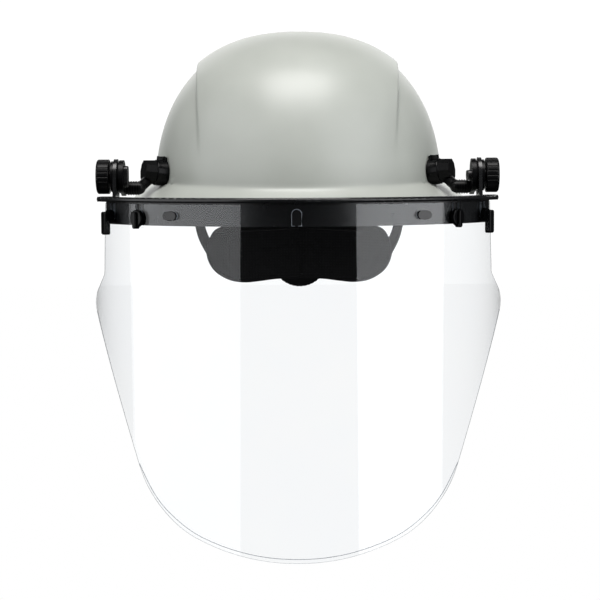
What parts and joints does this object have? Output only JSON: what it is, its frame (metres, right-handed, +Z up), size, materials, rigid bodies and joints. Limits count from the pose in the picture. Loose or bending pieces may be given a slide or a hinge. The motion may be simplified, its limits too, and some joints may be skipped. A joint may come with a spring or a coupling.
{
  "type": "face shield on hard hat",
  "caption": "Full-brim hard hat with a clear curved face shield on a swing-up bracket, clamp knobs, turn latches and a ratchet head harness.",
  "frame": {"origin": "on the middle line of the headband ring, a little above its lower edge, where the wearer's head goes in", "axes": "+Z up, the wearer faces -Y, +X is the wearer's left; the head enters from below along +Z"},
  "size_m": [0.278, 0.3522, 0.347],
  "materials": {
    "shell_plastic": "satin moulded, greenish grey",
    "black_plastic": "satin moulded black",
    "gloss_black": "polished black moulding",
    "clear_sheet": "clear polycarbonate sheet",
    "harness_plastic": "flexible black moulding",
    "pad_fabric": "soft knitted cover over foam",
    "strap_webbing": "woven webbing",
    "bolt_steel": "black-coated steel",
    "friction_fibre": "dark fibre washer"
  },
  "bodies": {
    "hat": {"hat_shell": "shell_plastic", "headband": "harness_plastic", "brow_pad": "pad_fabric", "suspension_keys": "harness_plastic", "crown_strap_lower": "strap_webbing", "crown_strap_upper": "strap_webbing", "nape_strap": "harness_plastic", "nape_pad": "pad_fabric", "ratchet_housing": "harness_plastic", "mounting_block_left": "gloss_black", "block_screw_left": "bolt_steel", "arm_left": "black_plastic", "pivot_bolt_left": "bolt_steel", "friction_washer_left": "friction_fibre", "knob_washer_left": "black_plastic", "mounting_block_right": "gloss_black", "block_screw_right": "bolt_steel", "arm_right": "black_plastic", "pivot_bolt_right": "bolt_steel", "friction_washer_right": "friction_fibre", "knob_washer_right": "black_plastic"},
    "shield": {"visor_bracket": "black_plastic", "visor_window": "clear_sheet"},
    "ratchet_dial": {"ratchet_knob": "black_plastic", "ratchet_pinion": "harness_plastic"},
    "latch_outer_left": {"latch_outer_left": "gloss_black"},
    "latch_inner_left": {"latch_inner_left": "gloss_black"},
    "latch_inner_right": {"latch_inner_right": "gloss_black"},
    "latch_outer_right": {"latch_outer_right": "gloss_black"},
    "rack_left": {"rack_strip_left": "harness_plastic"},
    "button_left": {"release_button_left": "gloss_black"},
    "knob_left": {"pivot_knob_left": "black_plastic"},
    "rack_right": {"rack_strip_right": "harness_plastic"},
    "button_right": {"release_button_right": "gloss_black"},
    "knob_right": {"pivot_knob_right": "black_plastic"}
  },
  "joints": [
    {"name": "shield_raise", "type": "hinge", "parent": "hat", "child": "shield", "pos_m": [0, -0.085, 0.0288], "axis": [-1, 0, 0], "range_deg": [0, 95]},
    {"name": "latch_outer_left_turn", "type": "hinge", "parent": "shield", "child": "latch_outer_left", "pos_m": [0.12161, -0.11197, 0.0026], "axis": [-0.8387, 0.5446, 0], "range_deg": [0, 90]},
    {"name": "latch_inner_left_turn", "type": "hinge", "parent": "shield", "child": "latch_inner_left", "pos_m": [0.10181, -0.13624, 0.002], "axis": [-0.7022, 0.712, 0], "range_deg": [0, 90]},
    {"name": "latch_inner_right_turn", "type": "hinge", "parent": "shield", "child": "latch_inner_right", "pos_m": [-0.10181, -0.13624, 0.002], "axis": [-0.7022, -0.712, 0], "range_deg": [0, 90]},
    {"name": "latch_outer_right_turn", "type": "hinge", "parent": "shield", "child": "latch_outer_right", "pos_m": [-0.12161, -0.11197, 0.0026], "axis": [-0.8387, -0.5446, 0], "range_deg": [0, 90]},
    {"name": "knob_left_turn", "type": "hinge", "parent": "hat", "child": "knob_left", "pos_m": [0.131, -0.085, 0.0288], "axis": [1, 0, 0], "range_deg": [0, 180]},
    {"name": "button_left_press", "type": "slide", "parent": "hat", "child": "button_left", "axis": [0.0969, -0.0392, -0.9945], "range_m": [0, 0.0012], "stiffness_N_per_m": 1500, "springref_m": -0.0003},
    {"name": "knob_right_turn", "type": "hinge", "parent": "hat", "child": "knob_right", "pos_m": [-0.131, -0.085, 0.0288], "axis": [-1, 0, 0], "range_deg": [0, 180]},
    {"name": "button_right_press", "type": "slide", "parent": "hat", "child": "button_right", "axis": [-0.0969, -0.0392, -0.9945], "range_m": [0, 0.0012], "stiffness_N_per_m": 1500, "springref_m": -0.0003},
    {"name": "ratchet_turn", "type": "hinge", "parent": "hat", "child": "ratchet_dial", "pos_m": [0, 0.11, -0.0379], "axis": [0, 1, 0], "range_deg": [-90, 90]},
    {"name": "rack_left_draw", "type": "hinge", "parent": "hat", "child": "rack_left", "pos_m": [0, 0.0329, -0.0379], "axis": [0, 0, 1], "range_deg": [-8, 8]},
    {"name": "rack_right_draw", "type": "hinge", "parent": "hat", "child": "rack_right", "pos_m": [0, 0.0329, -0.0379], "axis": [0, 0, 1], "range_deg": [-8, 8]}
  ],
  "couplings": [
    {"joint": "rack_left_draw", "follows": "ratchet_turn", "ratio": -0.08293},
    {"joint": "rack_right_draw", "follows": "ratchet_turn", "ratio": 0.08293}
  ]
}
